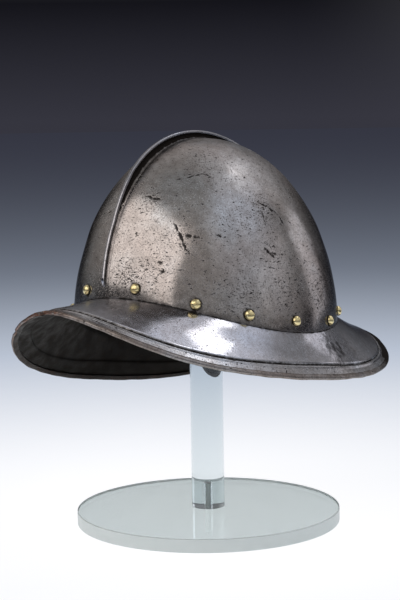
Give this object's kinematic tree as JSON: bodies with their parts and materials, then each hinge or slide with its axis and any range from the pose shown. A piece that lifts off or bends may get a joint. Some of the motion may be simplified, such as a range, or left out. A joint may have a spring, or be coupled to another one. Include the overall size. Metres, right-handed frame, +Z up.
{
  "type": "kettle hat on a display stand",
  "caption": "Combed steel kettle hat with a swept, hemmed brim and brass rivets round its skull, leaning back on a clear round stand with an upright rod.",
  "frame": {"origin": "centre of the stand's underside, on the surface it rests on", "axes": "+Z up along the rod; -Y towards the hat's front peak; +X towards the wearer's left"},
  "size_m": [0.2186, 0.3169, 0.2978],
  "materials": {
    "steel": "worn polish, pitted and patinated",
    "brass": "polished",
    "acrylic": "clear polished",
    "dowel_steel": "satin"
  },
  "bodies": {
    "root": {"skull_left_half": "steel", "skull_right_half": "steel", "rivet_01": "brass", "rivet_02": "brass", "rivet_03": "brass", "rivet_04": "brass", "rivet_05": "brass", "rivet_06": "brass", "rivet_07": "brass", "rivet_08": "brass", "rivet_09": "brass", "rivet_10": "brass", "rivet_11": "brass", "rivet_12": "brass", "rivet_13": "brass", "rivet_14": "brass", "stand_base": "acrylic", "stand_rod": "acrylic", "stand_dowel": "dowel_steel"}
  },
  "joints": []
}
